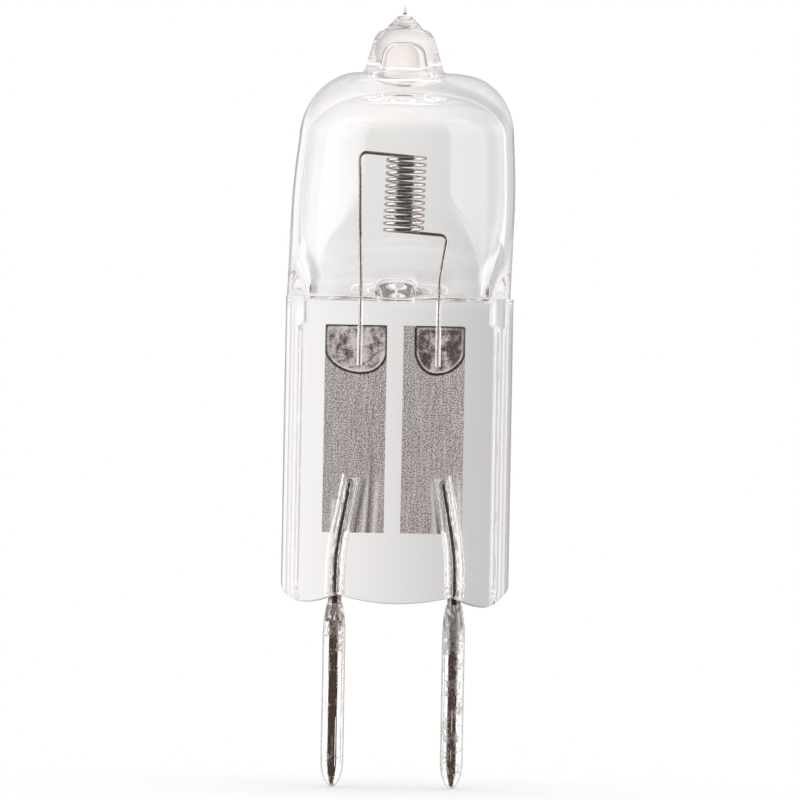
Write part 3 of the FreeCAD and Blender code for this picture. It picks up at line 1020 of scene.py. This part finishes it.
def foil_material():
    """Rolled foil, grey and grainy, with stained and crumpled zones round the filament welds, a painted
    glint inside each zone's rim, painted glow along the welds, painted sheen on folds and painted shade in
    valleys and creases.
    """
    material, tree, shader = new_material("molybdenum_foil")
    grain = noise_node(tree, millimetres(tree), 0.065, 2.0)
    streaks = noise_node(tree, millimetres(tree, (1, 1, 0.07)), 0.12, 2.0)
    rolled = math_node(tree, "MULTIPLY_ADD", grain, 0.86, times(tree, streaks, 0.14))
    plain = blend(tree, rolled, 0.39, 0.61, (0.19, 0.165, 0.16, 1), (0.8, 0.755, 0.755, 1))
    # Painted sheen on the fold ridges and painted shade in the valleys between them
    plain = toned(tree, plain, "fold_sheen", 0.6, (0.95, 0.93, 0.92))
    plain = toned(tree, plain, "valley_shade", 0.7, (0.12, 0.1, 0.095))
    stain = math_node(tree, "MULTIPLY_ADD", attribute(tree, "shade"), 0.45, grain)
    crumpled = blend(tree, stain, 0.5, 0.92, (0.075, 0.022, 0.01, 1), (0.92, 0.875, 0.87, 1))
    # Painted shade in the zone's creases
    crumpled = toned(tree, crumpled, "crease_shade", 0.8, (0.08, 0.045, 0.035))
    zone = attribute(tree, "zone")
    glint_border = attribute(tree, "glint_border")
    rim = attribute(tree, "rim")
    colour = mix_colour(tree, zone, plain, crumpled)
    # Painted highlight: the pale glint inside each zone's rim
    colour = mix_colour(tree, glint_border, colour, (0.95, 0.94, 0.93, 1))
    colour = mix_colour(tree, rim, colour, (0.03, 0.016, 0.012, 1))
    # Painted glow: speckled white along the lead and leg welds, standing in for light in the gaps round
    # the wires
    weld_glow = attribute(tree, "weld_glow")
    colour = mix_colour(tree, times(tree, weld_glow, stipple(tree)), colour, (0.98, 0.97, 0.97, 1))
    bright = math_node(tree, "MAXIMUM", times(tree, zone, 0.9), glint_border)
    bright = math_node(tree, "MAXIMUM", bright, weld_glow)
    tree.links.new(colour, shader.inputs["Base Color"])
    tree.links.new(ramp_node(tree, bright, 0.0, 1.0, 1.0, 0.1), shader.inputs["Metallic"])
    tree.links.new(ramp_node(tree, grain, 0.3, 0.7, 0.42, 0.6), shader.inputs["Roughness"])
    bump(tree, shader, rolled, 0.01)
    return material


# Studio: what a ray meets on each side, by what it has crossed or been mirrored in
WHITE = (1, 1, 1, 1)
SOFTBOX = (1.6, 1.6, 1.6, 1)
SOFTBOX_ON_WIRE = (2.9, 2.9, 2.9, 1)
SOFTBOX_IN_GLASS = (0.95, 0.94, 0.94, 1)
EVEN_IN_GLASS = (0.9, 0.885, 0.88, 1)
EVEN_ON_WIRE = (1.6, 1.58, 1.56, 1)
FLOOR_LIGHT = (1.08, 1.08, 1.08, 1)
LIGHT_FRONT = (0.86, 0.85, 0.84, 1)
DARK_FRONT = (0.09, 0.06, 0.05, 1)
WIRE_FRONT = (0.02, 0.008, 0.005, 1)
LIGHT_TOP = (0.88, 0.87, 0.87, 1)
DARK_TOP = (0.16, 0.14, 0.13, 1)
BACK_LEFT = (1.0, 0.985, 0.98, 1)
BACK_RIGHT = (0.6, 0.59, 0.59, 1)
BACK_MIDDLE = (0.36, 0.34, 0.34, 1)
BACK_FAR_LEFT = (0.74, 0.73, 0.73, 1)
BACK_FAR_RIGHT = (0.98, 0.97, 0.97, 1)
PINCH_LEFT = (0.97, 0.955, 0.95, 1)
PINCH_RIGHT = (0.565, 0.555, 0.555, 1)
RAIL_LEFT = (1.06, 1.05, 1.045, 1)
RAIL_RIGHT = (0.72, 0.71, 0.71, 1)
MIRROR_LEFT = (1.0, 0.985, 0.98, 1)
MIRROR_RIGHT = (0.57, 0.56, 0.56, 1)
BULB_LEFT = (0.9, 0.895, 0.885, 1)
BULB_MIDDLE = (0.825, 0.82, 0.81, 1)
BULB_RIGHT = (0.62, 0.62, 0.625, 1)
PINCH_FAR_LEFT = (0.58, 0.57, 0.57, 1)
PINCH_FAR_RIGHT = (1.05, 1.04, 1.04, 1)
DOME_LEFT = (1.0, 0.985, 0.98, 1)
DOME_RIGHT = (0.73, 0.725, 0.735, 1)


def studio_world():
    """White to the camera. Reflections see a dark room in front, a soft box on each side, a pale back."""
    world = bpy.data.worlds.new("studio")
    bpy.context.scene.world = world
    world.use_nodes = True
    tree = world.node_tree
    background = tree.nodes["Background"]
    path = add_node(tree, "ShaderNodeLightPath")
    crossed = path.outputs["Transmission Depth"]
    mirrored = path.outputs["Glossy Depth"]
    x, y, z = axes_of(tree, add_node(tree, "ShaderNodeTexCoord").outputs["Generated"])
    # How far a ray heads for the front
    level = math_node(tree, "SQRT", math_node(tree, "ADD", times(tree, x, x), times(tree, y, y)))
    facing = math_node(tree, "DIVIDE", times(tree, y, -1.0), level)
    skewed = math_node(tree, "MULTIPLY_ADD", x, -0.047, facing)
    # Rays off bare surfaces, and rays off metal behind glass, which cross four walls
    bare = math_node(tree, "LESS_THAN", crossed, 0.5)
    four_walls = math_node(tree, "COMPARE", crossed, 4.0, 0.1)
    behind_glass = times(tree, four_walls, math_node(tree, "LESS_THAN", mirrored, 1.5))
    on_metal = math_node(tree, "MAXIMUM", bare, behind_glass)
    skewed = math_node(tree, "MULTIPLY_ADD", behind_glass, 0.08, skewed)
    # Soft boxes between the front and the back
    past_front = ramp_node(tree, skewed, 0.62, 0.72, 1.0, 0.0)
    before_back = ramp_node(tree, facing, -0.6, -0.3)
    within = ramp_node(tree, math_node(tree, "ABSOLUTE", z), 0.7, 0.92, 1.0, 0.0)
    box = times(tree, times(tree, past_front, before_back), within)
    # Front, top and back of the room
    front = mix_colour(tree, bare, LIGHT_FRONT, DARK_FRONT)
    front = mix_colour(tree, behind_glass, front, WIRE_FRONT)
    top = mix_colour(tree, on_metal, LIGHT_TOP, DARK_TOP)
    back = blend(tree, x, -0.3, 0.3, BACK_LEFT, BACK_RIGHT)
    back = blend(tree, x, -0.61, -0.56, BACK_FAR_LEFT, back)
    back = blend(tree, x, 0.56, 0.61, back, BACK_FAR_RIGHT)
    bare_back = times(tree, ramp_node(tree, y, 0.88, 0.95), bare)
    straight_back = math_node(tree, "MAXIMUM", ramp_node(tree, y, 0.965, 0.985), bare_back)
    level_out = ramp_node(tree, math_node(tree, "ABSOLUTE", z), 0.14, 0.2, 1.0, 0.0)
    back = mix_colour(tree, times(tree, straight_back, level_out), back, BACK_MIDDLE)
    room = blend(tree, facing, 0.3, 0.7, back, front)
    room = blend(tree, z, 0.6, 0.95, room, top)
    box_light = mix_colour(tree, bare, SOFTBOX_IN_GLASS, SOFTBOX)
    box_light = mix_colour(tree, behind_glass, box_light, SOFTBOX_ON_WIRE)
    studio = mix_colour(tree, box, room, box_light)
    bare_up = times(tree, bare, ramp_node(tree, z, 0.12, 0.3))
    studio = mix_colour(tree, bare_up, studio, DARK_TOP)
    # Even light for rays that go to and fro in the glass
    often_mirrored = math_node(tree, "GREATER_THAN", mirrored, 1.5)
    to_and_fro = times(tree, often_mirrored, math_node(tree, "SUBTRACT", 1.0, bare))
    level_band = times(tree, ramp_node(tree, z, 0.2, 0.4, 1.0, 0.0), ramp_node(tree, z, -0.7, -0.5))
    wire_share = times(tree, four_walls, level_band)
    even = mix_colour(tree, wire_share, EVEN_IN_GLASS, EVEN_ON_WIRE)
    studio = mix_colour(tree, to_and_fro, studio, even)
    # Rays straight through the glass
    through = blend(tree, x, -0.5, 0.5, BULB_LEFT, BULB_RIGHT)
    unmirrored = math_node(tree, "LESS_THAN", mirrored, 0.5)
    straight = times(tree, path.outputs["Is Transmission Ray"], unmirrored)
    seen = mix_colour(tree, straight, studio, through)
    seen = mix_colour(tree, path.outputs["Is Diffuse Ray"], seen, FLOOR_LIGHT)
    seen = mix_colour(tree, path.outputs["Is Camera Ray"], seen, WHITE)
    tree.links.new(seen, background.inputs["Color"])


def backdrop_card():
    """Pale card close behind the bulb, lighter on the left, which shows only through clear glass."""
    half = 30.0
    place = 9.0
    low = -9.0
    high = 45.0
    points = [(-half, place, low), (half, place, low), (half, place, high), (-half, place, high)]
    card = mesh_object("card", points, [(0, 1, 2, 3)])
    material = bpy.data.materials.new("card")
    material.use_nodes = True
    tree = material.node_tree
    tree.nodes.clear()
    path = add_node(tree, "ShaderNodeLightPath")
    mirrored = path.outputs["Glossy Depth"]
    x, y, z = axes_of(tree, millimetres(tree))
    # Tones behind the pinch, the bulb and the dome
    pinch = blend(tree, x, -7.0, 7.0, PINCH_LEFT, PINCH_RIGHT)
    pinch = blend(tree, x, -5.5, -5.2, RAIL_LEFT, pinch)
    pinch = blend(tree, x, 5.2, 5.5, pinch, RAIL_RIGHT)
    pinch = blend(tree, x, -6.4, -6.0, PINCH_FAR_LEFT, pinch)
    pinch = blend(tree, x, 5.9, 6.3, pinch, PINCH_FAR_RIGHT)
    bulb = blend(tree, x, -4.5, -2.0, BULB_LEFT, BULB_MIDDLE)
    bulb = blend(tree, x, -1.0, 7.0, bulb, BULB_RIGHT)
    dome = blend(tree, x, -1.0, 7.0, DOME_LEFT, DOME_RIGHT)
    colour = blend(tree, z, 15.2, 16.4, pinch, bulb)
    colour = blend(tree, z, 25.0, 27.5, colour, dome)
    # Tones of rays that the sloping steps of the pinch mirror once
    unmirrored = math_node(tree, "LESS_THAN", mirrored, 0.5)
    once = math_node(tree, "COMPARE", mirrored, 1.0, 0.1)
    two_walls = math_node(tree, "COMPARE", path.outputs["Transmission Depth"], 2.0, 0.1)
    off_step = times(tree, times(tree, once, two_walls), math_node(tree, "LESS_THAN", z, 15.3))
    to_right = ramp_node(tree, x, -0.2, 0.2)
    crossing = math_node(tree, "LESS_THAN", math_node(tree, "ABSOLUTE", x), 3.0)
    from_right = math_node(tree, "ABSOLUTE", math_node(tree, "SUBTRACT", to_right, crossing))
    colour = mix_colour(tree, off_step, colour, mix_colour(tree, from_right, MIRROR_LEFT, MIRROR_RIGHT))
    glow = add_node(tree, "ShaderNodeEmission")
    feed(tree, glow.inputs["Color"], colour)
    clear = add_node(tree, "ShaderNodeBsdfTransparent")
    shown = math_node(tree, "MAXIMUM", unmirrored, off_step)
    shown = times(tree, path.outputs["Is Transmission Ray"], shown)
    mixed_surface(tree, shown, clear, glow, add_node(tree, "ShaderNodeOutputMaterial"))
    card.data.materials.append(material)


def floor():
    """Plain pale floor at the pins' ends, which fades to white away from the bulb."""
    reach = 45.0
    level = PIN_BOXES["left"][0][2]
    corners = [(-reach, -reach), (reach, -reach), (reach, reach), (-reach, reach)]
    points = [(x, y, level) for x, y in corners]
    ground = mesh_object("floor", points, [(0, 1, 2, 3)])
    material, tree, shader = new_material("floor")
    shader.inputs["Base Color"].default_value = (0.93, 0.93, 0.93, 1)
    shader.inputs["Roughness"].default_value = 0.9
    shader.inputs["Specular IOR Level"].default_value = 0.0
    path = add_node(tree, "ShaderNodeLightPath")
    place = add_node(tree, "ShaderNodeTexCoord")
    distance = add_node(tree, "ShaderNodeVectorMath", operation="LENGTH")
    tree.links.new(place.outputs["Object"], distance.inputs[0])
    away = ramp_node(tree, distance.outputs["Value"], 8 * MM, 30 * MM)
    white = add_node(tree, "ShaderNodeEmission")
    white.inputs["Color"].default_value = WHITE
    seen = times(tree, path.outputs["Is Camera Ray"], away)
    mixed_surface(tree, seen, shader, white, tree.nodes["Material Output"])
    ground.data.materials.append(material)
    ground.visible_glossy = False
    ground.visible_transmission = False


def camera():
    """Camera level with the bulb, straight in front, turned so that the bulb leans as photographed."""
    distance = 500.0
    seen_width = 42.55
    aim = Vector((0.107, 0, 10.64))
    roll = math.radians(-1.05)
    lens = bpy.data.cameras.new("camera")
    lens.sensor_width = 36.0
    lens.lens = lens.sensor_width * distance / seen_width
    lens.clip_start = 0.01
    lens.clip_end = 10.0
    eye = bpy.data.objects.new("camera", lens)
    eye.location = (aim + Vector((0, -distance, 0))) * MM
    eye.rotation_euler = (math.pi / 2, roll, 0)
    bpy.context.scene.collection.objects.link(eye)
    bpy.context.scene.camera = eye


def dress(piece, node):
    """Puts a finished piece in place of its CAD node."""
    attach(piece, "root")
    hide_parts(node)


def light_paths():
    """Enough bounces for light that crosses many glass walls."""
    settings = bpy.context.scene.cycles
    settings.max_bounces = 128
    settings.glossy_bounces = 128
    settings.transmission_bounces = 128
    settings.blur_glossy = 0.0


def main():
    bpy.context.scene.view_settings.view_transform = "Standard"
    light_paths()
    dress(quartz(), "quartz_envelope")
    dress(filament(), "filament")
    for name in SIDES:
        dress(foil_sheet(name), "foil_" + name)
        dress(lead_wire(name), "lead_wire_" + name)
        dress(contact_pin(name), "contact_pin_" + name)
    studio_world()
    backdrop_card()
    floor()
    camera()


main()
